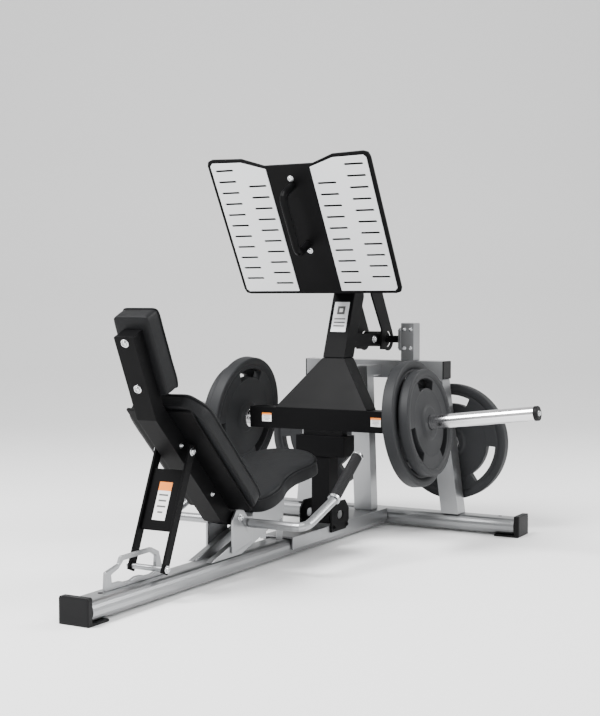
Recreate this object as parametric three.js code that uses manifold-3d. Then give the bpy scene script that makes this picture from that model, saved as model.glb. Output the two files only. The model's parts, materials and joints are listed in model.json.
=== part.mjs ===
import * as THREE from "three";
import Module from "manifold-3d";

const solidKit = await Module();
solidKit.setup();

// Leg press machine, millimetres, +Z up, user faces +Y, symmetric about X = 0.
// Working Y values count from the loading-arm axis; SHIFT_Y moves the origin to the base centre.

// ---- driving dimensions ----
const GAP = 0.4;
const SHIFT_Y = 439;
const SEG = 48;

const TUBE_HALF_W = 52;
const TUBE_Z0 = 8;
const TUBE_Z1 = 68;
const FOOT_H = 80;
const FOOT_FLANGE = 7.6;
const BASE_FRONT_Y = -1463;
const FOOT_WALL = 23;
const CROSS_Y = 460;
const CROSS_HALF_X = 578;
const FOOT_X = 601;

const LEG_W = 71;
const LEG_D = 72;
const LEG_FOOT = [320, 447];
const LEG_HEAD = [260, 425];
const BEAM = { x: 300, y0: 389, y1: 461, z0: 589, z1: 656.5 };

const PIVOT = [418, 739];
const SHAFT_R = 14;
const HUB_R = 30;
const UPRIGHT = { x0: 121, x1: 176, y0: 389, y1: 447, z1: 803 };

const ARM = { x: 299.7, y0: -47, y1: 30, z0: 416, z1: 493 };
const HORN_R = 25;
const HORN_TILT = 7 * Math.PI / 180;
const HORN_START = [300.2, 445.3];
const HORN_LEN = 518;
const PLATE_BORE_R = 25.8;
const BIG_PLATE = { r: 225, t: 45 };
const SMALL_PLATE = { r: 190, t: 40 };
const GRIP_SLOT = { r: 0.735, half: 17, span: 25 * Math.PI / 180 };

const FP_ANGLE = 60.1 * Math.PI / 180;
const FP_ORIGIN = [-285, 1351];
const FP_T = 10;
const PANEL_T = 3;
const SLOT_LEN = 73;
const SLOT_W = 8;
const SLOT_PITCH = 43.45;

const BEND = [-1119, 536];
const BACK_ANGLE = 44.6 * Math.PI / 180;
const HEAD_ANGLE = 65.7 * Math.PI / 180;
const SPINE_D = 56;
const HEAD_SPINE_D = 50;
const PAD_BACK_N = 66.4;
const PAD_T = 58;
const SPINE_X = 35;
const HINGE_SN = [552, 59.7];
const PROP_SN = [174, 28];
const PROP_ROD = [-1115, 100];

const group = new THREE.Group();
group.name = "leg_press_machine";

// ---- materials ----
const LOOKS = {
  silver: [0x9a9da0, 0.75, 0.35],
  black: [0x17181a, 0.3, 0.45],
  rubber: [0x2b2d2f, 0.0, 0.7],
  chrome: [0xd8dadc, 1.0, 0.15],
  panel: [0xc9cbcc, 0.8, 0.4],
  vinyl: [0x202123, 0.0, 0.6],
  plastic: [0x101112, 0.0, 0.5],
};

function add(name, geometry, look) {
  const [color, metalness, roughness] = LOOKS[look];
  const material = new THREE.MeshStandardMaterial({ color, metalness, roughness });
  material.name = name;
  geometry.translate(0, SHIFT_Y, 0);
  const mesh = new THREE.Mesh(geometry, material);
  mesh.name = name;
  group.add(mesh);
}

// ---- geometry helpers ----
function circle(cu, cv, r, seg = SEG) {
  const out = [];
  for (let i = 0; i < seg; i += 1) {
    const a = 2 * Math.PI * i / seg;
    out.push([cu + r * Math.cos(a), cv + r * Math.sin(a)]);
  }
  return out;
}

function rounded(u0, u1, v0, v1, r, steps = 4) {
  const out = [];
  const corners = [[u1 - r, v1 - r, 0], [u0 + r, v1 - r, 1], [u0 + r, v0 + r, 2], [u1 - r, v0 + r, 3]];
  for (const [cu, cv, quarter] of corners) {
    for (let i = 0; i <= steps; i += 1) {
      const a = Math.PI / 2 * (quarter + i / steps);
      out.push([cu + r * Math.cos(a), cv + r * Math.sin(a)]);
    }
  }
  return out;
}

// Extrusion with its section axes u, v and its direction w = u x v, starting at origin o.
function extrude(points, holes, depth, u, v, o) {
  const section = new solidKit.CrossSection([points, ...holes], "EvenOdd");
  const { numProp, vertProperties, triVerts } = section.extrude(depth).getMesh();
  const positions = [];
  for (let i = 0; i < vertProperties.length; i += numProp) {
    positions.push(vertProperties[i], vertProperties[i + 1], vertProperties[i + 2]);
  }
  const geometry = new THREE.BufferGeometry();
  geometry.setAttribute("position", new THREE.Float32BufferAttribute(positions, 3));
  geometry.setIndex(Array.from(triVerts));
  const w = new THREE.Vector3().crossVectors(u, v);
  const frame = new THREE.Matrix4().makeBasis(u, v, w);
  frame.setPosition(o);
  geometry.applyMatrix4(frame);
  geometry.computeVertexNormals();
  return geometry;
}

const X = new THREE.Vector3(1, 0, 0);
const Y = new THREE.Vector3(0, 1, 0);
const Z = new THREE.Vector3(0, 0, 1);

function prismX(points, x0, x1, holes = []) {
  return extrude(points, holes, x1 - x0, Y, Z, new THREE.Vector3(x0, 0, 0));
}

function prismY(zxPoints, y0, y1) {
  return extrude(zxPoints, [], y1 - y0, Z, X, new THREE.Vector3(0, y0, 0));
}

function box(x0, x1, y0, y1, z0, z1) {
  const geometry = new THREE.BoxGeometry(x1 - x0, y1 - y0, z1 - z0);
  geometry.translate((x0 + x1) / 2, (y0 + y1) / 2, (z0 + z1) / 2);
  return geometry;
}

function meshOf(vertices, faces) {
  const geometry = new THREE.BufferGeometry();
  geometry.setAttribute("position", new THREE.Float32BufferAttribute(vertices.flat(), 3));
  geometry.setIndex(faces.flat());
  geometry.computeVertexNormals();
  return geometry;
}

// Block between a lower and an upper rectangle, each [x0, x1, y0, y1, z].
function frustum(low, high) {
  const ring = ([x0, x1, y0, y1, z]) => [[x0, y0, z], [x1, y0, z], [x1, y1, z], [x0, y1, z]];
  const vertices = [...ring(low), ...ring(high)];
  const faces = [[0, 2, 1], [0, 3, 2], [4, 5, 6], [4, 6, 7]];
  for (let i = 0; i < 4; i += 1) {
    const j = (i + 1) % 4;
    faces.push([i, j, j + 4], [i, j + 4, i + 4]);
  }
  return meshOf(vertices, faces);
}

// Closed skin over equal rings of points, with a centre point closing each end.
function skin(rings, startCentre, endCentre) {
  const n = rings[0].length;
  const vertices = rings.flat();
  const faces = [];
  for (let k = 0; k + 1 < rings.length; k += 1) {
    for (let i = 0; i < n; i += 1) {
      const a = k * n + i;
      const b = k * n + (i + 1) % n;
      faces.push([a, b, b + n], [a, b + n, a + n]);
    }
  }
  const first = vertices.length;
  vertices.push(startCentre, endCentre);
  const last = (rings.length - 1) * n;
  for (let i = 0; i < n; i += 1) {
    const j = (i + 1) % n;
    faces.push([first, j, i], [first + 1, last + i, last + j]);
  }
  return meshOf(vertices, faces);
}

// Turned solid: profile is [[distance along the axis, radius], ...] from point o along axis w.
function turned(profile, o, w, seg = SEG) {
  const side = Math.abs(w.y) > 0.9 ? X.clone() : Y.clone();
  const u = new THREE.Vector3().crossVectors(side, w).normalize();
  const v = new THREE.Vector3().crossVectors(w, u);
  const at = (s, r, a) => {
    const p = o.clone().addScaledVector(w, s);
    p.addScaledVector(u, r * Math.cos(a)).addScaledVector(v, r * Math.sin(a));
    return p.toArray();
  };
  const rings = profile.map(([s, r]) => {
    const ring = [];
    for (let i = 0; i < seg; i += 1) {
      ring.push(at(s, r, 2 * Math.PI * i / seg));
    }
    return ring;
  });
  return skin(rings, at(profile[0][0], 0, 0), at(profile[profile.length - 1][0], 0, 0));
}

function rod(a, b, r, seg = 24) {
  const from = new THREE.Vector3(...a);
  const w = new THREE.Vector3(...b).sub(from);
  const length = w.length();
  return turned([[0, r], [length, r]], from, w.normalize(), seg);
}

// Round bar swept along points, mitred at each corner.
function bentBar(path, r, seg = 16) {
  const points = path.map((p) => new THREE.Vector3(...p));
  const dirs = points.slice(1).map((p, i) => p.clone().sub(points[i]).normalize());
  const u = new THREE.Vector3();
  const helper = Math.abs(dirs[0].x) > 0.9 ? Z : X;
  u.crossVectors(helper, dirs[0]).normalize();
  const rings = points.map((p, k) => {
    const before = dirs[Math.max(k - 1, 0)];
    const after = dirs[Math.min(k, dirs.length - 1)];
    const v = new THREE.Vector3().crossVectors(before, u);
    const normal = before.clone().add(after).normalize();
    const ring = [];
    for (let i = 0; i < seg; i += 1) {
      const a = 2 * Math.PI * i / seg;
      const q = u.clone().multiplyScalar(r * Math.cos(a)).addScaledVector(v, r * Math.sin(a));
      const shift = -q.dot(normal) / before.dot(normal);
      ring.push(p.clone().add(q).addScaledVector(before, shift).toArray());
    }
    const turn = new THREE.Quaternion().setFromUnitVectors(before, after);
    u.applyQuaternion(turn);
    return ring;
  });
  return skin(rings, path[0], path[path.length - 1]);
}

// Corner of a path replaced by an arc of short chords.
function filleted(path, radius, steps = 4) {
  const out = [path[0]];
  for (let k = 1; k + 1 < path.length; k += 1) {
    const p = new THREE.Vector3(...path[k]);
    const a = new THREE.Vector3(...path[k - 1]).sub(p).normalize();
    const b = new THREE.Vector3(...path[k + 1]).sub(p).normalize();
    const half = a.angleTo(b) / 2;
    const cut = radius / Math.tan(half);
    const start = p.clone().addScaledVector(a, cut);
    const end = p.clone().addScaledVector(b, cut);
    for (let i = 0; i <= steps; i += 1) {
      const t = i / steps;
      const q = start.clone().multiplyScalar((1 - t) * (1 - t));
      q.addScaledVector(p, 2 * t * (1 - t)).addScaledVector(end, t * t);
      out.push(q.toArray());
    }
  }
  out.push(path[path.length - 1]);
  return out;
}

// Point on the backrest: s down along the spine from its bend, n towards the user.
function onBack(s, n) {
  const c = Math.cos(BACK_ANGLE);
  const d = Math.sin(BACK_ANGLE);
  return [BEND[0] + s * c + n * d, BEND[1] - s * d + n * c];
}

function onHead(s, n) {
  const c = Math.cos(HEAD_ANGLE);
  const d = Math.sin(HEAD_ANGLE);
  return [BEND[0] - s * c + n * d, BEND[1] + s * d + n * c];
}

// Point on the footplate: v down the plate, h behind its front face.
function onPlate(v, h) {
  const c = Math.cos(FP_ANGLE);
  const d = Math.sin(FP_ANGLE);
  return [FP_ORIGIN[0] + v * c + h * d, FP_ORIGIN[1] - v * d + h * c];
}

const SIDES = [["left", -1], ["right", 1]];

function spanX(side, x0, x1) {
  return side > 0 ? [x0, x1] : [-x1, -x0];
}

// ---- base frame ----
function baseFrame() {
  const oval = rounded(TUBE_Z0, TUBE_Z1, -TUBE_HALF_W, TUBE_HALF_W, 28, 5);
  const frontEnd = BASE_FRONT_Y + FOOT_WALL;
  const crossFront = CROSS_Y - TUBE_HALF_W;
  add("base_tube", prismY(oval, frontEnd + GAP, crossFront - GAP), "silver");
  const crossOval = rounded(CROSS_Y - TUBE_HALF_W, CROSS_Y + TUBE_HALF_W, TUBE_Z0, TUBE_Z1, 28, 5);
  add("cross_tube", prismX(crossOval, -CROSS_HALF_X, CROSS_HALF_X), "silver");
  const foot = [
    [BASE_FRONT_Y, 0], [frontEnd + 74, 0], [frontEnd + 74, FOOT_FLANGE],
    [frontEnd, FOOT_FLANGE], [frontEnd, FOOT_H], [BASE_FRONT_Y, FOOT_H],
  ];
  add("front_foot", prismX(foot, -TUBE_HALF_W, TUBE_HALF_W), "plastic");
  for (const [word, s] of SIDES) {
    const x1 = CROSS_HALF_X + GAP;
    const profile = [[0, x1 - 78], [0, FOOT_X], [FOOT_H, FOOT_X], [FOOT_H, x1], [FOOT_FLANGE, x1], [FOOT_FLANGE, x1 - 78]];
    const points = profile.map(([z, x]) => [z, s * x]);
    const y0 = CROSS_Y - TUBE_HALF_W - 2;
    add(`rear_foot_${word}`, prismY(s > 0 ? points : points.reverse(), y0, y0 + 2 * TUBE_HALF_W + 4), "plastic");
  }
const outer = TUBE_HALF_W + 8;
  const inner = TUBE_HALF_W + GAP;
  const channel = [
    [30, inner], [30, outer], [TUBE_Z1 + 7, outer], [TUBE_Z1 + 7, -outer], [30, -outer], [30, -inner],
    [TUBE_Z1 + GAP, -inner], [TUBE_Z1 + GAP, inner],
  ];
  add("base_cover", prismY(channel, -352, crossFront - 8), "silver");
}

function rearFrame() {
  for (const [word, s] of SIDES) {
    const low = spanX(s, LEG_FOOT[0] - LEG_W / 2, LEG_FOOT[0] + LEG_W / 2);
    const high = spanX(s, LEG_HEAD[0] - LEG_W / 2, LEG_HEAD[0] + LEG_W / 2);
    add(`rear_leg_${word}`, frustum(
      [...low, LEG_FOOT[1] - LEG_D / 2, LEG_FOOT[1] + LEG_D / 2, TUBE_Z1 + GAP],
      [...high, LEG_HEAD[1] - LEG_D / 2, LEG_HEAD[1] + LEG_D / 2, BEAM.z0 - GAP],
    ), "silver");
    const [ux0, ux1] = spanX(s, UPRIGHT.x0, UPRIGHT.x1);
    add(`bearing_upright_${word}`, box(ux0, ux1, UPRIGHT.y0, UPRIGHT.y1, BEAM.z1 + GAP, UPRIGHT.z1), "silver");
    const [bx0, bx1] = spanX(s, UPRIGHT.x0 - 14, UPRIGHT.x0 - GAP);
    const flange = rounded(PIVOT[0] - 27, PIVOT[0] + 27, PIVOT[1] - 45, PIVOT[1] + 45, 16);
    add(`flange_bearing_${word}`, prismX(flange, bx0, bx1, [circle(...PIVOT, SHAFT_R + 0.1)]), "silver");
    const horn = [[0, HORN_R], [4, HORN_R], [4.1, 38], [15, 38], [15.1, HORN_R], [112, HORN_R]];
    add(`storage_horn_${word}`, turned(horn, new THREE.Vector3(s * 288, 473, 340), Y), "chrome");
  }
  add("top_beam", box(-BEAM.x, BEAM.x, BEAM.y0, BEAM.y1, BEAM.z0, BEAM.z1), "silver");
  const post = [
    [305, TUBE_Z1 + 7.4], [360, TUBE_Z1 + 7.4], [322, 598], [BEAM.y0 - GAP, 598],
    [BEAM.y0 - GAP, 640], [262, 640],
  ];
  add("centre_post", prismX(post, -37.5, 37.5), "silver");
}

function stopAssembly() {
  add("stop_post", box(-36, 36, -45, 25, TUBE_Z1 + 7.4, 320 - GAP), "black");
  add("stop_head", box(-100, 100, -50, 34, 320, 396), "black");
  add("rubber_buffer", box(-80, 80, -30, 14, 396 + GAP, ARM.z0 - 0.2), "rubber");
  const cheek = [[-82, 50], [30, 50], [54, 82], [54, 124], [26, 158], [-54, 158], [-82, 130]];
  const slot = rounded(-34, 10, 92, 122, 14);
  for (const [word, s] of SIDES) {
    const [x0, x1] = spanX(s, TUBE_HALF_W + 8.4, TUBE_HALF_W + 15);
    add(`stop_cheek_${word}`, prismX(cheek, x0, x1, [slot]), "black");
  }
}

function rack() {
  const outline = [
    [-1326, TUBE_Z1 + GAP], [-1042, TUBE_Z1 + GAP], [-1068, 142], [-1104, 159], [-1250, 157],
    [-1262, 136], [-1322, 122],
  ];
  const window = [[-1084, 84], [-1080, 130], [-1106, 146], [-1242, 144], [-1266, 124], [-1300, 112]];
  const teeth = [-1284, -1256, -1234, -1206, -1184, -1156, -1134, -1106].map((y, i) => [y, i % 4 < 2 ? 86 : 80]);
  add("adjuster_rack", prismX(outline, -6, 6, [[...window, [-1296, 84], ...teeth]]), "silver");
}

function seat() {
  const frame = [
    [-845, TUBE_Z1 + GAP], [-664, TUBE_Z1 + GAP], [-400, 150], [-400, 76], [-345, 76], [-345, 168],
    [-330, 172], [-330, 278], [-380, 262], [-590, 194.2], [-590, 146],
  ];
  const onTube = frame.map(([y, z]) => [y, z === 76 ? TUBE_Z1 + GAP : z]);
for (const [word, side] of SIDES) {
    const [x0, x1] = spanX(side, 20, 44);
    add(`seat_frame_${word}`, prismX(onTube.filter(([y]) => y < -352), x0, x1), "silver");
  }
  const ear = [[-728, 80], [-605, 100], [-605, 185], [-640, 189], [-662, 216], [-705, 218], [-728, 190]];
  const hinge = onBack(...HINGE_SN);
  for (const [word, s] of SIDES) {
    const [x0, x1] = spanX(s, 44.4, 52);
    add(`hinge_ear_${word}`, prismX(ear, x0, x1, [circle(...hinge, 10.1)]), "silver");
    const path = [[s * 52.4, -628, 166], [s * 262, -628, 166], [s * 262, -441, 229]];
    add(`handle_tube_${word}`, bentBar(filleted(path, 40), 15), "silver");
    add(`handle_grip_${word}`, rod([s * 262, -437, 232], [s * 262, -263, 359], 17), "rubber");
  }
  const slope = Math.atan2(126, 381);
  const outline = [
    [-52, 0], [52, 0], [112, 30], [146, 78], [138, 120], [108, 170], [104, 230], [122, 290], [118, 360],
    [84, 398], [-84, 398], [-118, 360], [-122, 290], [-104, 230], [-108, 170], [-138, 120], [-146, 78], [-112, 30],
  ];
  const along = new THREE.Vector3(0, -Math.cos(slope), -Math.sin(slope));
  const up = new THREE.Vector3(0, -Math.sin(slope), Math.cos(slope));
  const origin = new THREE.Vector3(0, -269, 376).addScaledVector(up, -58);
  const points = outline.map(([x, d]) => [-x, d]).reverse();
  const minusX = X.clone().negate();
  const side = new THREE.Vector3().crossVectors(minusX, along).dot(up);
  const u = side > 0 ? minusX : X;
  add("seat_pad", extrude(side > 0 ? points.reverse() : points, [], 58, u, along, origin), "vinyl");
}

function backrest() {
  const back = (pairs) => pairs.map(([s, n]) => onBack(s, n));
  const spine = [
    ...back([[0, 0], [500, 0], [574, 42], [574, 72], [552, 80], [528, 72], [516, SPINE_D - 0.4], [0, SPINE_D]]),
    onHead(24, HEAD_SPINE_D), onHead(272, HEAD_SPINE_D), onHead(272, 0),
  ];
  const hinge = onBack(...HINGE_SN);
  add("backrest_spine", prismX(spine, -SPINE_X, SPINE_X, [circle(...hinge, 10.3)]), "black");
  add("backrest_pin", rod([-53, ...hinge], [53, ...hinge], 10, SEG), "silver");
  add("back_board", prismX(back([[24, SPINE_D + GAP], [504, SPINE_D + GAP], [504, 66], [24, 66]]), -118, 118), "black");
  const outline = [
    [-92, 0], [92, 0], [140, 56], [140, 476], [116, 500], [-116, 500], [-140, 476], [-140, 56],
  ];
  const down = new THREE.Vector3(0, Math.cos(BACK_ANGLE), -Math.sin(BACK_ANGLE));
  const o = onBack(12, PAD_BACK_N);
  const normal = new THREE.Vector3(0, Math.sin(BACK_ANGLE), Math.cos(BACK_ANGLE));
  const u = new THREE.Vector3().crossVectors(down, normal);
  const pts = outline.map(([x, d]) => [x * u.x, d]);
  add("back_pad", extrude(u.x > 0 ? pts : pts.reverse(), [], PAD_T, u, down, new THREE.Vector3(0, ...o)), "vinyl");
  const rest = HEAD_SPINE_D + GAP;
  const head = [
    onHead(56, rest), onHead(304, rest), onHead(314, rest + 10), onHead(312, 112), onHead(300, 122), onHead(56, 120),
  ];
  add("head_pad", prismX(head, -62, 62), "vinyl");
}

function prop() {
  const top = onBack(...PROP_SN);
  const end = PROP_ROD;
  const dy = end[0] - top[0];
  const dz = end[1] - top[1];
  const length = Math.hypot(dy, dz);
  const along = [dy / length, dz / length];
  const across = [-along[1], along[0]];
  const at = (s, n) => [top[0] + along[0] * s + across[0] * n, top[1] + along[1] * s + across[1] * n];
  for (const [word, s] of SIDES) {
    const [x0, x1] = spanX(s, 56, 64);
    const bar = [at(-18, -16), at(-18, 16), at(length + 14, 16), at(length + 14, -16)].reverse();
    add(`prop_bar_${word}`, prismX(bar, x0, x1, [circle(...end, 9)]), "black");
  }
  const plate = [at(60, -4), at(60, 4), at(250, 4), at(250, -4)].reverse();
  add("prop_plate", prismX(plate, -55.6, 55.6), "black");
  add("prop_rod", rod([-68, ...end], [68, ...end], 8.6), "silver");
  const grip = [[-26, ...at(90, 9)], [-26, ...at(90, 46)], [-26, ...at(190, 46)], [-26, ...at(190, 9)]];
  const moved = grip.map(([x, y, z]) => [x + 26, y, z]);
  add("prop_handle", bentBar(filleted(moved, 16, 3), 5, 12), "black");
}

// ---- press arm ----
function pressArm() {
  add("arm_crossbar", box(-ARM.x, ARM.x, ARM.y0, ARM.y1, ARM.z0, ARM.z1), "black");
  add("arm_gusset", frustum([-190, 190, ARM.y0, ARM.y1, ARM.z1 + GAP], [-45, 45, 56, 134, 676.6]), "black");
  const neck = [
    [57, 677], [134, 677], [222, 905], [205, 985], onPlate(320, FP_T + GAP), onPlate(440, FP_T + GAP),
    [146, 922],
  ];
  add("arm_neck", prismX(neck, -45, 45), "black");
  const hubFront = PIVOT[0] - HUB_R - GAP;
  const link = [[150, 712], [hubFront, 718], [hubFront, 760], [172, 766]];
  add("arm_link", prismX(link, -38, 38), "black");
  const shaft = [[0, SHAFT_R], [72, SHAFT_R], [72.1, HUB_R], [165.9, HUB_R], [166, SHAFT_R], [238, SHAFT_R]];
  const stepped = shaft.map(([s, r]) => [s, r]);
  add("pivot_shaft", turned(stepped, new THREE.Vector3(-119, ...PIVOT), X), "black");
  const rim = [];
  for (let i = 0; i <= 10; i += 1) {
    const a = (-118 + 148 * i / 10) * Math.PI / 180;
    rim.push([PIVOT[0] + 46 * Math.cos(a), PIVOT[1] + 46 * Math.sin(a)]);
  }
  const cheek = [
    ...rim, [372, 905], [300, 1040], onPlate(180, FP_T + GAP), onPlate(300, FP_T + GAP),
    [240, 985], [272, 905], [360, 775], [352, 700],
  ];
  for (const [word, s] of SIDES) {
    const [x0, x1] = spanX(s, 47.4, 55.4);
    add(`arm_side_plate_${word}`, prismX(cheek, x0, x1, [circle(...PIVOT, HUB_R + GAP)]), "black");
    const c = Math.cos(HORN_TILT);
    const d = Math.sin(HORN_TILT);
    const axis = new THREE.Vector3(s * c, 0, d);
    const start = new THREE.Vector3(s * HORN_START[0], 0, HORN_START[1]);
    const horn = [
      [4, HORN_R], [20, HORN_R], [20.1, 38], [34.6, 38], [34.7, HORN_R],
      [HORN_LEN - 6, HORN_R], [HORN_LEN, HORN_R - 4],
    ];
    add(`loading_horn_${word}`, turned(horn, start, axis), "chrome");
    weightPlate(`plate_large_${word}`, BIG_PLATE, start.clone().addScaledVector(axis, 35), axis);
    weightPlate(`plate_small_${word}`, SMALL_PLATE, start.clone().addScaledVector(axis, 80.4), axis);
    weightPlate(`plate_stored_${word}`, BIG_PLATE, new THREE.Vector3(s * 288, 489, 340), Y);
  }
}

// Disc with a bore and three curved hand slots.
function weightPlate(name, size, origin, axis) {
  const u = Math.abs(axis.y) > 0.9 ? Z.clone() : Y.clone();
  const v = new THREE.Vector3().crossVectors(axis, u);
  const upAngle = Math.atan2(v.z, u.z);
  const slots = [0, 1, 2].map((k) => {
    const middle = upAngle + k * 2 * Math.PI / 3;
    const r = size.r * GRIP_SLOT.r;
    const out = [];
    for (let i = 0; i <= 8; i += 1) {
      const a = middle + GRIP_SLOT.span * (i / 4 - 1);
      out.push([(r + GRIP_SLOT.half) * Math.cos(a), (r + GRIP_SLOT.half) * Math.sin(a)]);
    }
    for (let i = 8; i >= 0; i -= 1) {
      const a = middle + GRIP_SLOT.span * (i / 4 - 1);
      out.push([(r - GRIP_SLOT.half) * Math.cos(a), (r - GRIP_SLOT.half) * Math.sin(a)]);
    }
    return out;
  });
  const holes = [circle(0, 0, PLATE_BORE_R, 32), ...slots];
  add(name, extrude(circle(0, 0, size.r, 64), holes, size.t, u, v, origin), "rubber");
}

function footplate() {
  const c = Math.cos(FP_ANGLE);
  const d = Math.sin(FP_ANGLE);
  const down = new THREE.Vector3(0, c, -d);
  const behind = new THREE.Vector3().crossVectors(down, X);
  const towardsBack = behind.y > 0 ? 1 : -1;
  const flat = (pairs) => pairs.map(([x, v]) => (towardsBack > 0 ? [v, x] : [v, -x]));
  const right = [[96, -8], [181, -38], [300, -42], [318, -36], [324, -20], [324, 482], [318, 498], [300, 503]];
  const left = right.map(([x, v]) => [-x, v]).reverse();
  const u = down;
  const w = towardsBack > 0 ? X : X.clone().negate();
  const at = (h) => new THREE.Vector3(0, ...onPlate(0, h));
  add("footplate", extrude(flat([...right, ...left]), [], FP_T, u, w, at(0)), "black");
  for (const [word, s] of SIDES) {
    const edge = [[88, 3], [182, -27], [300, -30], [310, -20], [310, 480], [300, 490], [88, 490]];
    const slots = [];
    for (let i = 0; i < 21; i += 1) {
      const inner = i >= 11;
      const x0 = (inner ? 101.5 : 220.7) + i * 0.07;
      const v0 = inner ? 65.2 + (i - 11) * SLOT_PITCH : i * SLOT_PITCH;
      const loop = rounded(x0, x0 + SLOT_LEN, v0 - SLOT_W / 2, v0 + SLOT_W / 2, 3, 1);
      slots.push(flat(loop.map(([x, v]) => [s * x, v])));
    }
    const outline = flat(edge.map(([x, v]) => [s * x, v]));
    add(`grip_panel_${word}`, extrude(outline, slots, PANEL_T, u, w, at(-PANEL_T - GAP)), "panel");
  }
  const handle = [[70, -GAP], [70, -84], [300, -84], [300, -GAP]].map(([v, h]) => [0, ...onPlate(v, h)]);
  add("footplate_handle", bentBar(filleted(handle, 34), 14), "black");
}

baseFrame();
rearFrame();
stopAssembly();
rack();
seat();
backrest();
prop();
pressArm();
footplate();

export default group;
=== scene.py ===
import json
import math

import bmesh
import bpy
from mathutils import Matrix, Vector


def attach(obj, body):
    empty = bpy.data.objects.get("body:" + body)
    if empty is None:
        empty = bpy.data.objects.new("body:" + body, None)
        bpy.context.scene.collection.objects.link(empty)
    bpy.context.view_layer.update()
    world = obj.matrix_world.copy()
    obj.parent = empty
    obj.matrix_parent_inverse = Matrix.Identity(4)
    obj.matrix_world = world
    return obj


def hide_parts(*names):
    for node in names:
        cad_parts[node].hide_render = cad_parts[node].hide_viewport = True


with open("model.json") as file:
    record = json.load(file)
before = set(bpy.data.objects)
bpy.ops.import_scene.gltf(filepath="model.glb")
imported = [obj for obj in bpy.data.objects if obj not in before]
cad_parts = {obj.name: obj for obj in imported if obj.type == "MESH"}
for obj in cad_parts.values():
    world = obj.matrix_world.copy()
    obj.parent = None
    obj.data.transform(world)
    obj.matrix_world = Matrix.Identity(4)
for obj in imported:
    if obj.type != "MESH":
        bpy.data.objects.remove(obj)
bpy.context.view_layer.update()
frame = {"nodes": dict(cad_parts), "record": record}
NODES = frame["nodes"]
RECORD = frame["record"]

# ---- dimensions in millimetres; Y counts from the axis of the loading horns ----
SHIFT_Y = 439  # from the middle of the footprint to that axis
# (Y, Z) of the bend between the back frame and the head frame, and their slopes
BEND = (-1119, 536)
BACK_ANGLE = math.radians(44.6)
HEAD_ANGLE = math.radians(65.7)
# foot plate: slope, and (Y, Z) of its top edge
FP_ANGLE = math.radians(60.1)
FP_ORIGIN = (-285, 1351)
# (along, out from) the back frame: the recline hinge and the top of the prop
HINGE = (552, 59.7)
PROP_TOP = (174, 28)
# undersides of the back and head cushions above their frames, and thicknesses
PAD_BACK_N, HEAD_BACK_N = 66.4, 50.4
SEAT_T, PAD_T, HEAD_T = 58, 58, 70
# (Y, Z) of the rod at the prop's foot and of the press arm's pivot
PROP_ROD = (-1115, 100)
PIVOT = (418, 739)
# loading horns: tilt, (X, Z) of the root, length
HORN_TILT = math.radians(7)
HORN_START = (300.2, 445.3)
HORN_LEN = 518
# storage horns: X, Z, Y of the tip; Y of the stored plate's near face
STORE_X, STORE_Z, STORE_TIP = 288, 340, 585
STORE_PLATE_Y = 489
# weight plates: radius and thickness, bore, slots (share of radius, half width, half angle)
BIG = (225, 45)
SMALL = (190, 40)
BORE_R = 25.8
SLOT_AT, SLOT_HALF, SLOT_SPAN = 0.735, 17, math.radians(25)
# along each loading horn from its root, metres
LARGE_PLATE_AT, SMALL_PLATE_AT = 0.035, 0.0804
# rear legs: (X, Y, Z) of foot and head, and the share of the rise where the strip sits
LEG_FOOT, LEG_HEAD = (320, 411, 68.4), (260, 389, 588.6)
STRIP_AT = 0.68
# camera: focal length on a 36 mm sensor, place, degrees it looks down, and its turn about
# the vertical, which the backdrop shares
LENS = 66.22
CAMERA_AT = (2280.1, -4266.3, 884.6)
LOOK_DOWN = 2.44
VIEW_TURN = math.radians(29.26)
X, Y, Z = Vector((1, 0, 0)), Vector((0, 1, 0)), Vector((0, 0, 1))


def mm(x, y, z):
    """A point in metres in the shared frame, from working millimetres."""
    return Vector((x / 1000, (y + SHIFT_Y) / 1000, z / 1000))


def on_back(s, n):
    """(Y, Z) at s down the back frame from the bend and n out from it."""
    c, d = math.cos(BACK_ANGLE), math.sin(BACK_ANGLE)
    return BEND[0] + s * c + n * d, BEND[1] - s * d + n * c


def on_head(s, n):
    """(Y, Z) at s up the head frame from the bend and n out from it."""
    c, d = math.cos(HEAD_ANGLE), math.sin(HEAD_ANGLE)
    return BEND[0] - s * c + n * d, BEND[1] + s * d + n * c


def on_plate(v, h):
    """(Y, Z) at v down the foot plate from its top edge and h out from it."""
    c, d = math.cos(FP_ANGLE), math.sin(FP_ANGLE)
    return FP_ORIGIN[0] + v * c + h * d, FP_ORIGIN[1] - v * d + h * c


# ---- camera ----
def make_camera():
    data = bpy.data.cameras.new("camera")
    data.lens = LENS
    data.sensor_width = 36
    data.clip_end = 100
    cam = bpy.data.objects.new("camera", data)
    bpy.context.collection.objects.link(cam)
    cam.location = mm(*CAMERA_AT)
    cam.rotation_euler = (math.radians(90 - LOOK_DOWN), 0, VIEW_TURN)
    bpy.context.scene.camera = cam


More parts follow.
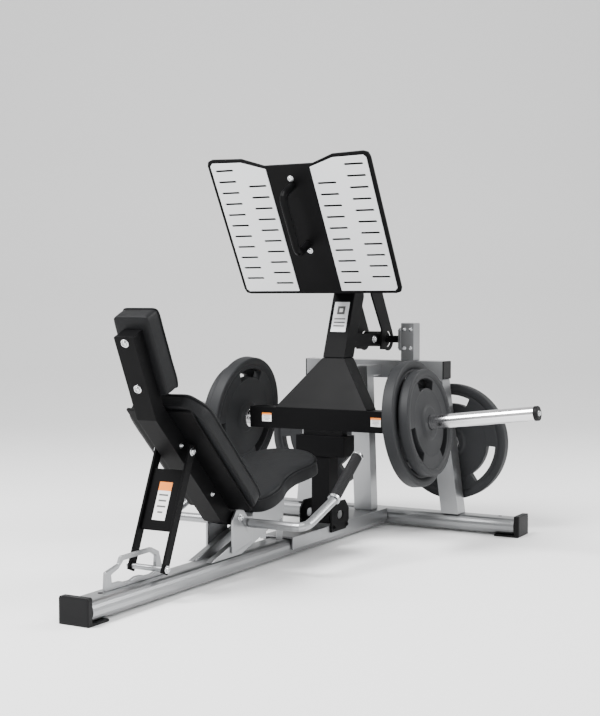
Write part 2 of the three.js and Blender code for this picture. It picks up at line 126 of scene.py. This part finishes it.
# ---- materials ----
def material(
    name, color, rough, metal=0.0, bump=0.0, scale=200.0, spread=0.0, cells=False, level=0.3
):
    """A finish: spread varies the roughness in clouds, bump adds a grain or round cells."""
    mat = bpy.data.materials.new(name)
    mat.use_nodes = True
    tree = mat.node_tree
    shader = tree.nodes["Principled BSDF"]
    shader.inputs["Base Color"].default_value = (*color, 1)
    shader.inputs["Metallic"].default_value = metal
    shader.inputs["Roughness"].default_value = rough
    shader.inputs["Specular IOR Level"].default_value = 0.5 if metal > 0.1 else level
    if not bump and not spread:
        return mat
    coords = tree.nodes.new("ShaderNodeTexCoord")
    if spread:
        cloud = tree.nodes.new("ShaderNodeTexNoise")
        cloud.inputs["Scale"].default_value = 9
        cloud.inputs["Detail"].default_value = 5
        tree.links.new(coords.outputs["Object"], cloud.inputs["Vector"])
        ramp = tree.nodes.new("ShaderNodeMapRange")
        ramp.inputs["To Min"].default_value = rough - spread
        ramp.inputs["To Max"].default_value = rough + spread
        tree.links.new(cloud.outputs["Fac"], ramp.inputs["Value"])
        tree.links.new(ramp.outputs["Result"], shader.inputs["Roughness"])
    if bump:
        grain = tree.nodes.new("ShaderNodeTexVoronoi" if cells else "ShaderNodeTexNoise")
        grain.inputs["Scale"].default_value = scale
        tree.links.new(coords.outputs["Object"], grain.inputs["Vector"])
        node = tree.nodes.new("ShaderNodeBump")
        node.inputs["Strength"].default_value = bump
        node.inputs["Distance"].default_value = 0.0006
        height = grain.outputs["Distance"] if cells else grain.outputs["Fac"]
        tree.links.new(height, node.inputs["Height"])
        tree.links.new(node.outputs["Normal"], shader.inputs["Normal"])
    return mat


LOOKS = {
    "silver_paint": material(
        "silver_paint", (0.30, 0.305, 0.312), 0.33, metal=0.9, bump=0.12, scale=900, spread=0.05
    ),
    "black_paint": material(
        "black_paint", (0.003, 0.003, 0.0033), 0.46, bump=0.10, scale=700, spread=0.05, level=0.06
    ),
    "black_plastic": material(
        "black_plastic", (0.007, 0.007, 0.0075), 0.5, bump=0.25, scale=500, spread=0.04, level=0.12
    ),
    "chrome": material("chrome", (0.72, 0.72, 0.73), 0.16, metal=1.0, spread=0.03),
    "soft_rubber": material(
        "soft_rubber", (0.010, 0.010, 0.011), 0.6, bump=0.3, scale=600, spread=0.04, level=0.2
    ),
    "plate_rubber": material(
        "plate_rubber", (0.015, 0.0157, 0.017), 0.55, bump=0.35, scale=420, spread=0.06, level=0.2
    ),
    "panel_metal": material(
        "panel_metal", (0.68, 0.69, 0.70), 0.42, metal=0.2, bump=0.05, scale=800, spread=0.04
    ),
    "vinyl": material(
        "vinyl", (0.007, 0.0073, 0.008), 0.5, bump=0.5, scale=330, spread=0.06, cells=True,
        level=0.13,
    ),
}
WHITE = material("label_white", (0.75, 0.75, 0.74), 0.5)
ORANGE = material("label_orange", (0.8, 0.22, 0.02), 0.5)
INK = material("label_ink", (0.08, 0.08, 0.08), 0.5)
ZINC = material("zinc", (0.62, 0.63, 0.64), 0.25, metal=1.0, spread=0.05)


# ---- piece helpers ----
def piece(name, verts, faces, slot, body, mat=None, smooth=True):
    mesh = bpy.data.meshes.new(name)
    mesh.from_pydata([tuple(v) for v in verts], [], faces)
    mesh.materials.append(mat or LOOKS[slot])
    bm = bmesh.new()
    bm.from_mesh(mesh)
    bmesh.ops.recalc_face_normals(bm, faces=bm.faces)
    bm.to_mesh(mesh)
    bm.free()
    for p in mesh.polygons:
        p.use_smooth = smooth
    obj = bpy.data.objects.new(name, mesh)
    bpy.context.collection.objects.link(obj)
    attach(obj, body)
    return obj


def soften(obj, width, segments=2, angle=35):
    bevel = obj.modifiers.new("bevel", "BEVEL")
    bevel.width = width / 1000
    bevel.segments = segments
    bevel.limit_method = "ANGLE"
    bevel.angle_limit = math.radians(angle)
    normals = obj.modifiers.new("normals", "WEIGHTED_NORMAL")
    normals.keep_sharp = True
    return obj


def rings_mesh(rings, closed_ends=True):
    """Points and faces of a skin through rings of equal length."""
    n = len(rings[0])
    verts = [v for ring in rings for v in ring]
    faces = []
    for k in range(len(rings) - 1):
        for i in range(n):
            j = (i + 1) % n
            faces.append((k * n + i, k * n + j, (k + 1) * n + j, (k + 1) * n + i))
    if closed_ends:
        faces.append(tuple(reversed(range(n))))
        faces.append(tuple(range((len(rings) - 1) * n, len(rings) * n)))
    return verts, faces


def turned_rings(profile, origin, axis, seg):
    """Rings of a turned shape; profile holds (distance along the axis, radius)."""
    axis = axis.normalized()
    side = Y if abs(axis.y) < 0.9 else X
    u = side.cross(axis).normalized()
    v = axis.cross(u)
    rings = []
    for s, r in profile:
        ring = []
        for i in range(seg):
            a = 2 * math.pi * i / seg
            spoke = u * math.cos(a) + v * math.sin(a)
            ring.append(origin + axis * s / 1000 + spoke * r / 1000)
        rings.append(ring)
    return rings


def turned(name, profile, origin, axis, slot, body, mat=None, seg=48):
    verts, faces = rings_mesh(turned_rings(profile, origin, axis, seg))
    obj = piece(name, verts, faces, slot, body, mat)
    return soften(obj, 0.4, 1, 40)


def bolt(name, origin, axis, r, body, slot="silver_paint", mat=None):
    washer, head = 0.18 * r, 0.75 * r
    profile = [
        (0, 1.45 * r), (washer, 1.45 * r), (washer, r), (washer + 0.7 * head, r),
        (washer + head, 0.78 * r), (washer + head, 0.5 * r), (washer + 0.45 * head, 0.45 * r),
    ]
    return turned(name, profile, origin, axis, slot, body, mat or ZINC, 28)


def slab(name, centre, u, v, w, size, slot, body, mat, soft=0.2):
    """A thin box of size (along u, along v, along w) with slightly rounded edges."""
    a, b, c = (k / 2000 for k in size)
    verts = []
    for sw in (-1, 1):
        for su, sv in ((-1, -1), (1, -1), (1, 1), (-1, 1)):
            verts.append(centre + u * a * su + v * b * sv + w * c * sw)
    faces = [(3, 2, 1, 0), (4, 5, 6, 7), (0, 1, 5, 4), (1, 2, 6, 5), (2, 3, 7, 6), (3, 0, 4, 7)]
    return soften(piece(name, verts, faces, slot, body, mat, False), soft, 1)


def label(name, centre, u, v, w, width, height, body, slot):
    """A generic notice: a white sheet, an orange band and four plain lines."""
    slab(f"{name}_sheet", centre + w * 0.0003, u, v, w, (width, height, 0.6), slot, body, WHITE)
    top = centre + v * (height * 0.385 / 1000) + w * 0.0007
    slab(f"{name}_band", top, u, v, w, (width, height * 0.23, 0.4), slot, body, ORANGE, 0.05)
    for k in range(4):
        row = centre + v * (height * (0.16 - 0.15 * k) / 1000) + w * 0.0007
        wide = width * (0.72, 0.6, 0.68, 0.4)[k]
        slab(f"{name}_line_{k}", row, u, v, w, (wide, height * 0.045, 0.3), slot, body, INK, 0.02)


# ---- CAD pieces: rounded edges and finishes ----
def finish_cad():
    slots = {s["node"]: s["material_slot"] for s in RECORD["subparts"]}
    widths = {
        "silver_paint": 3.0, "black_paint": 2.5, "black_plastic": 9.0, "chrome": 1.0,
        "soft_rubber": 2.0, "plate_rubber": 2.0, "panel_metal": 0.6, "vinyl": 3.0,
    }
    fine = {
        "footplate": 2.0, "adjuster_rack": 1.5, "stop_cheek_left": 1.5, "stop_cheek_right": 1.5,
    }
    for name, obj in NODES.items():
        slot = slots[name]
        obj.data.materials.clear()
        obj.data.materials.append(LOOKS[slot])
        weld = obj.modifiers.new("weld", "WELD")
        weld.merge_threshold = 0.00002
        soften(obj, fine.get(name, widths[slot]), 2 if slot == "panel_metal" else 3, 38)


# ---- upholstery ----
def smooth_loop(points, rounds=3):
    """The closed outline with its corners cut off, over and over, until it is round."""
    for _ in range(rounds):
        out = []
        for i, (a, b) in enumerate(points):
            c, d = points[(i + 1) % len(points)]
            out.append((0.75 * a + 0.25 * c, 0.75 * b + 0.25 * d))
            out.append((0.25 * a + 0.75 * c, 0.25 * b + 0.75 * d))
        points = out
    return points


def cushion(name, node, outline, origin, u, v, w, thick, crown, body):
    """A crowned pad with waisted sides, soft creases and a piped seam near its face."""
    loop = smooth_loop(outline)
    ca = sum(p[0] for p in loop) / len(loop)
    cb = sum(p[1] for p in loop) / len(loop)

    def ring(inset, height, share=1.0):
        out = []
        for a, b in loop:
            da, db = a - ca, b - cb
            far = math.hypot(da, db)
            k = share * (far - inset) / far
            out.append(origin + (u * (ca + da * k) + v * (cb + db * k) + w * height) / 1000)
        return out

    seam_height = thick - 13.5
    face_inset = 15
    levels = [
        (4, 0), (0.5, 2), (0, 8), (-1, 0.35 * thick), (-1, 0.6 * thick), (0, thick - 17),
        (1.6, seam_height), (0.6, thick - 10), (3, thick - 5), (8, thick - 1.5),
        (face_inset, thick),
    ]
    rings = [ring(i, h) for i, h in levels]
    for k, rise in ((0.88, 0.3), (0.74, 0.55), (0.56, 0.8), (0.36, 0.94), (0.16, 1.0)):
        rings.append(ring(face_inset, thick + crown * rise, k))
    verts, faces = rings_mesh(rings)
    obj = piece(name, verts, faces, "vinyl", body)
    sub = obj.modifiers.new("subdivision", "SUBSURF")
    sub.levels = sub.render_levels = 1
    crease = bpy.data.textures.new(f"{name}_creases", "CLOUDS")
    crease.noise_scale = 0.09
    push = obj.modifiers.new("creases", "DISPLACE")
    push.texture = crease
    push.texture_coords = "LOCAL"
    push.strength = 0.0022
    push.mid_level = 0.5
    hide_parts(node)
    seam = ring(-1.2, seam_height)
    n = len(seam)
    cord_radius = 0.0022
    tube = []
    for i in range(n):
        t = (seam[(i + 1) % n] - seam[i - 1]).normalized()
        side = t.cross(w).normalized()
        circle = []
        for j in range(8):
            a = 2 * math.pi * j / 8
            circle.append(seam[i] + (side * math.cos(a) + w * math.sin(a)) * cord_radius)
        tube.append(circle)
    verts, faces = rings_mesh(tube + [tube[0]], False)
    piece(f"{name}_piping", verts, faces, "vinyl", body)


def mirrored(half):
    """A closed outline from its right half, listed from bottom to top."""
    return half + [(-a, b) for a, b in reversed(half)]


def upholstery():
    slope = math.atan2(126, 381)
    along = Vector((0, -math.cos(slope), -math.sin(slope)))
    up = Vector((0, -math.sin(slope), math.cos(slope)))
    outline = mirrored([
        (52, 0), (112, 30), (146, 78), (138, 120), (108, 170), (104, 230), (122, 290), (118, 360),
        (84, 398),
    ])
    origin = mm(0, -269, 376) - up * SEAT_T / 1000
    cushion("seat_cushion", "seat_pad", outline, origin, X, along, up, SEAT_T, 6, "base")
    down = Vector((0, math.cos(BACK_ANGLE), -math.sin(BACK_ANGLE)))
    out = Vector((0, math.sin(BACK_ANGLE), math.cos(BACK_ANGLE)))
    outline = mirrored([
        (50, 0), (88, 0), (112, 22), (136, 52), (140, 90), (140, 180), (140, 290), (140, 400),
        (139, 462), (126, 488), (96, 499), (50, 500),
    ])
    origin = mm(0, *on_back(12, PAD_BACK_N))
    cushion("back_cushion", "back_pad", outline, origin, X, down, out, PAD_T, 6, "backrest")
    rise = Vector((0, -math.cos(HEAD_ANGLE), math.sin(HEAD_ANGLE)))
    out = Vector((0, math.sin(HEAD_ANGLE), math.cos(HEAD_ANGLE)))
    outline = mirrored([
        (30, 0), (54, 0), (63, 8), (63, 60), (63, 180), (63, 247), (54, 256), (30, 256),
    ])
    origin = mm(0, *on_head(56, HEAD_BACK_N))
    cushion("head_cushion", "head_pad", outline, origin, X, rise, out, HEAD_T, 4, "backrest")


# ---- weight plates ----
def weight_plate(name, size, origin, axis):
    """A disc with a raised hub and rim, three curved slots and a steel-lined bore."""
    radius, thick = size
    axis = axis.normalized()
    u = Z if abs(axis.y) > 0.9 else Y
    v = axis.cross(u)
    up = math.atan2(v.z, u.z)
    r_slot = radius * SLOT_AT
    inner, outer = r_slot - SLOT_HALF, r_slot + SLOT_HALF
    # radius, and how deep the face lies below the hub there
    levels = [
        (BORE_R, 0), (BORE_R + 3, 0), (46, 0), (50, 0), (58, 0), (66, 8), (inner - 9, 8.5),
        (inner - 3, 6), (inner, 6.8), (r_slot, 6.8), (outer, 6.8), (outer + 3, 6),
        (0.86 * radius, 8), (0.895 * radius, 0.6), (0.93 * radius, 0), (0.975 * radius, 0),
        (0.993 * radius, 2.2), (radius, 6.5),
    ]
    first, last = 8, 10  # the levels at the slots' inner and outer edges
    steps = 180
    verts = []
    for back in (0, 1):
        for r, drop in levels:
            for i in range(steps):
                a = up + 2 * math.pi * i / steps
                h = thick - drop if back else drop
                spoke = u * math.cos(a) + v * math.sin(a)
                verts.append(origin + (axis * h + spoke * r) / 1000)
    count = len(levels)

    def at(back, k, i):
        return (back * count + k) * steps + i % steps

    def quad(*corners):
        faces.append(tuple(at(*c) for c in corners))

    def cut(k, i):
        if not first <= k < last:
            return False
        a = (2 * math.pi * (i + 0.5) / steps) % (2 * math.pi / 3)
        return min(a, 2 * math.pi / 3 - a) < SLOT_SPAN

    faces = []
    for i in range(steps):
        j = i + 1
        for k in range(count - 1):
            m = k + 1
            if not cut(k, i):
                quad((0, k, i), (0, k, j), (0, m, j), (0, m, i))
                quad((1, k, i), (1, m, i), (1, m, j), (1, k, j))
                continue
            if not cut(k - 1, i):
                quad((0, k, i), (0, k, j), (1, k, j), (1, k, i))
            if not cut(m, i):
                quad((0, m, i), (1, m, i), (1, m, j), (0, m, j))
            if not cut(k, i - 1):
                quad((0, k, i), (1, k, i), (1, m, i), (0, m, i))
            if not cut(k, j):
                quad((0, k, j), (0, m, j), (1, m, j), (1, k, j))
        rim = count - 1
        quad((0, 0, i), (1, 0, i), (1, 0, j), (0, 0, j))
        quad((0, rim, i), (0, rim, j), (1, rim, j), (1, rim, i))
    obj = piece(f"{name}_disc", verts, faces, "plate_rubber", name)
    soften(obj, 2.2, 3, 50)
    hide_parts(name)
    sleeve = [(BORE_R, 0), (BORE_R + 5, 0), (BORE_R + 5, 1.2), (BORE_R, 1.2), (BORE_R, 0)]
    for word, h, d in (("front", thick - 0.6, 1), ("back", 0.6, -1)):
        rings = turned_rings(sleeve, origin + axis * h / 1000, axis * d, 64)
        ring_verts, ring_faces = rings_mesh(rings, False)
        piece(f"{name}_sleeve_{word}", ring_verts, ring_faces, "plate_rubber", name, ZINC)


def horns_and_plates():
    c, d = math.cos(HORN_TILT), math.sin(HORN_TILT)
    for word, s in (("left", -1), ("right", 1)):
        axis = Vector((s * c, 0, d))
        start = mm(s * HORN_START[0], 0, HORN_START[1])
        weight_plate(f"plate_large_{word}", BIG, start + axis * LARGE_PLATE_AT, axis)
        weight_plate(f"plate_small_{word}", SMALL, start + axis * SMALL_PLATE_AT, axis)
        stored = mm(s * STORE_X, STORE_PLATE_Y, STORE_Z)
        weight_plate(f"plate_stored_{word}", BIG, stored, Y)
        cap = [(0, 25.2), (0, 25.6), (13, 25.6), (15, 24), (15, 12), (13.5, 12)]
        end = start + axis * (HORN_LEN - 13) / 1000
        turned(f"horn_cap_{word}", cap, end, axis, "black_plastic", "press_arm")
        bolt(f"horn_bolt_{word}", end + axis * 0.0135, axis, 7, "press_arm")
        tip = mm(s * STORE_X, STORE_TIP, STORE_Z)
        cap = [(-12, 25.3), (-12, 25.6), (1.5, 25.6), (3, 24)]
        turned(f"storage_cap_{word}", cap, tip, Y, "black_plastic", "base")


# ---- handles ----
def hand_grips():
    for word, s in (("left", -1), ("right", 1)):
        a, b = mm(s * 262, -437, 232), mm(s * 262, -263, 359)
        axis = (b - a).normalized()
        length = (b - a).length * 1000
        profile = [(0, 15.2), (0, 18.5), (8, 18.5)]
        rib, pitch = 11.0, 6.6
        while rib < length - 13:
            profile += [(rib, 17), (rib + 1.2, 18.8), (rib + 4.2, 18.8), (rib + 5.4, 17)]
            rib += pitch
        profile += [(length - 8, 18.5), (length, 18.5)]
        obj = turned(f"grip_{word}", profile, a, axis, "soft_rubber", "base")
        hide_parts(f"handle_grip_{word}")
        ring = [(0, 18), (0, 20.4), (1, 21), (9, 21), (10, 20.4), (10, 18)]
        for k, t in (("low", -1), ("high", length - 7)):
            name, place = f"grip_collar_{k}_{word}", a + axis * t / 1000
            turned(name, ring, place, axis, "silver_paint", "base", ZINC)


# ---- bolts, labels, caps and plugs ----
def side_bolts(word, s):
    out = X * s
    for k, (x, z) in enumerate(((135, 705), (162, 705), (135, 778), (162, 778))):
        bolt(f"upright_bolt_{word}_{k}", mm(s * x, 389, z), -Y, 5.5, "base")
    for k, (dy, dz) in enumerate(((-14, 33), (14, 33), (-14, -33), (14, -33))):
        place = mm(s * 107, PIVOT[0] + dy, PIVOT[1] + dz)
        bolt(f"bearing_bolt_{word}_{k}", place, -out, 4.5, "base")
    bolt(f"link_bolt_{word}", mm(s * 38, 321, 740), out, 10, "press_arm")
    bolt(f"leg_bolt_{word}", mm(s * 296, 401.6, 275), -Y, 7, "base")
    bolt(f"prop_top_bolt_{word}", mm(s * 64, *on_back(*PROP_TOP)), out, 9, "prop")
    bolt(f"prop_rod_bolt_{word}", mm(s * 68, *PROP_ROD), out, 8, "prop")
    bolt(f"hinge_bolt_{word}", mm(s * 53, *on_back(*HINGE)), out, 9, "backrest")
    black = LOOKS["black_paint"]
    for k, (y, z) in enumerate(((-62, 66), (36, 66))):
        place = mm(s * 67, y, z)
        bolt(f"cheek_bolt_{word}_{k}", place, out, 6, "base", "black_paint", black)
    for k, along in enumerate((150, 390)):
        place = mm(s * 35, *on_back(along, 30))
        bolt(f"spine_side_bolt_{word}_{k}", place, out, 6, "backrest")


def leg_strip(word, s):
    """A dark strip with four orange and white marks on a rear leg."""
    x, y, z = LEG_FOOT
    lean = (mm(s * LEG_HEAD[0], *LEG_HEAD[1:]) - mm(s * x, y, z)).normalized()
    face = X.cross(lean).normalized()
    face = face if face.y < 0 else -face
    across = lean.cross(face)
    centre = mm(s * (x - 60 * STRIP_AT), y - 22 * STRIP_AT, z + 520 * STRIP_AT)
    name, slot, body = f"leg_strip_{word}", "silver_paint", "base"
    slab(name, centre, across, lean, face, (34, 190, 0.8), slot, body, INK)
    for k in range(4):
        mark = centre + lean * (0.066 - 0.044 * k) + face * 0.0005
        tint = ORANGE if k % 2 == 0 else WHITE
        name = f"leg_mark_{word}_{k}"
        slab(name, mark, across, lean, face, (22, 24, 0.4), slot, body, tint, 0.05)


def beam_cap(word, s):
    centre, plastic = mm(s * 298.5, 425, 622.75), "black_plastic"
    name, size = f"beam_cap_{word}", (73.4, 68.9, 7)
    slab(name, centre, Y, Z, X, size, plastic, "base", LOOKS[plastic], 2)


def badge():
    """A plain metal plate on the neck: a dark square, a light dot and three lines."""
    slot, body = "panel_metal", "press_arm"
    rise = (mm(0, 146, 922) - mm(0, 57, 677)).normalized()
    face = Vector((0, -rise.z, rise.y))
    spot = mm(0, 112, 828.4)
    sheet = spot + face * 0.0004
    slab("badge_sheet", sheet, X, rise, face, (62, 118, 0.8), slot, body, LOOKS[slot])
    block = spot + rise * 0.026 + face * 0.001
    slab("badge_block", block, X, rise, face, (32, 32, 0.4), slot, body, INK)
    dot = spot + rise * 0.026 + face * 0.0013
    slab("badge_dot", dot, X, rise, face, (14, 14, 0.3), slot, body, WHITE)
    for k in range(3):
        row = spot - rise * (0.008 + 0.014 * k) + face * 0.001
        slab(f"badge_line_{k}", row, X, rise, face, (46, 5, 0.3), slot, body, INK, 0.05)


def prop_labels():
    top = mm(0, *on_back(*PROP_TOP))
    along = (mm(0, *PROP_ROD) - top).normalized()
    face = Vector((0, along.z, -along.y))
    face = face if face.y < 0 else -face
    for word, side in (("rear", face), ("front", -face)):
        centre = top + along * 0.160 + side * 0.004
        label(f"prop_label_{word}", centre, X, -along, side, 46, 118, "prop", "black_paint")


def fasteners():
    for word, s in (("left", -1), ("right", 1)):
        side_bolts(word, s)
        notice = mm(s * 226, -47, 455)
        label(f"crossbar_label_{word}", notice, X, Z, -Y, 40, 32, "press_arm", "black_paint")
        leg_strip(word, s)
        beam_cap(word, s)
        plug = [(-1, 7), (0.8, 7), (1.2, 6)]
        turned(f"cross_plug_{word}", plug, mm(s * 503, 470, 68), Z, "black_plastic", "base")
    back = Vector((0, -math.sin(HEAD_ANGLE), -math.cos(HEAD_ANGLE)))
    for k, along in enumerate((104, 252)):
        bolt(f"spine_back_bolt_{k}", mm(0, *on_head(along, 0)), back, 9, "backrest")
    front = Vector((0, -math.sin(FP_ANGLE), -math.cos(FP_ANGLE)))
    for k, v in enumerate((44, 326)):
        bolt(f"footplate_bolt_{k}", mm(0, *on_plate(v, 0)), front, 8, "press_arm")
    plug = [(-1, 8), (0.8, 8), (1.2, 7)]
    turned("base_plug", plug, mm(0, -1343, 68), Z, "black_plastic", "base")
    badge()
    prop_labels()


# ---- floor and light ----
def stage():
    """A floor that curves up into a wall behind the machine."""
    floor_mat = material("floor", (0.9, 0.9, 0.9), 0.8)
    half_width = 16
    profile = [(-14, 0), (5, 0), (7, 0.25), (8.6, 1.0), (9.6, 2.4), (10, 5), (10, 14)]
    verts, faces = [], []
    for y, z in profile:
        verts += [(-half_width, y, z), (half_width, y, z)]
    for k in range(len(profile) - 1):
        faces.append((2 * k, 2 * k + 1, 2 * k + 3, 2 * k + 2))
    mesh = bpy.data.meshes.new("floor")
    mesh.from_pydata(verts, [], faces)
    mesh.materials.append(floor_mat)
    for p in mesh.polygons:
        p.use_smooth = True
    floor = bpy.data.objects.new("floor", mesh)
    floor.rotation_euler = (0, 0, VIEW_TURN)
    bpy.context.collection.objects.link(floor)


def lamp(name, place, target, size, power):
    data = bpy.data.lights.new(name, "AREA")
    data.shape = "SQUARE"
    data.size = size
    data.energy = power
    obj = bpy.data.objects.new(name, data)
    obj.location = place
    obj.rotation_euler = (Vector(target) - Vector(place)).to_track_quat("-Z", "Y").to_euler()
    bpy.context.collection.objects.link(obj)


def lights():
    world = bpy.data.worlds.new("world")
    world.use_nodes = True
    back = world.node_tree.nodes["Background"]
    back.inputs["Color"].default_value = (0.9, 0.9, 0.9, 1)
    back.inputs["Strength"].default_value = 1.0
    bpy.context.scene.world = world
    lamp("key", (-1.5, -2.6, 4.6), (0, 0.1, 0.5), 2.2, 620)
    lamp("rim", (3.6, 2.6, 3.4), (0, 0, 0.6), 2.4, 240)
    lamp("fill", (4.2, -3.4, 1.8), (0, 0, 0.6), 2.6, 110)


make_camera()
finish_cad()
upholstery()
horns_and_plates()
hand_grips()
fasteners()
stage()
lights()
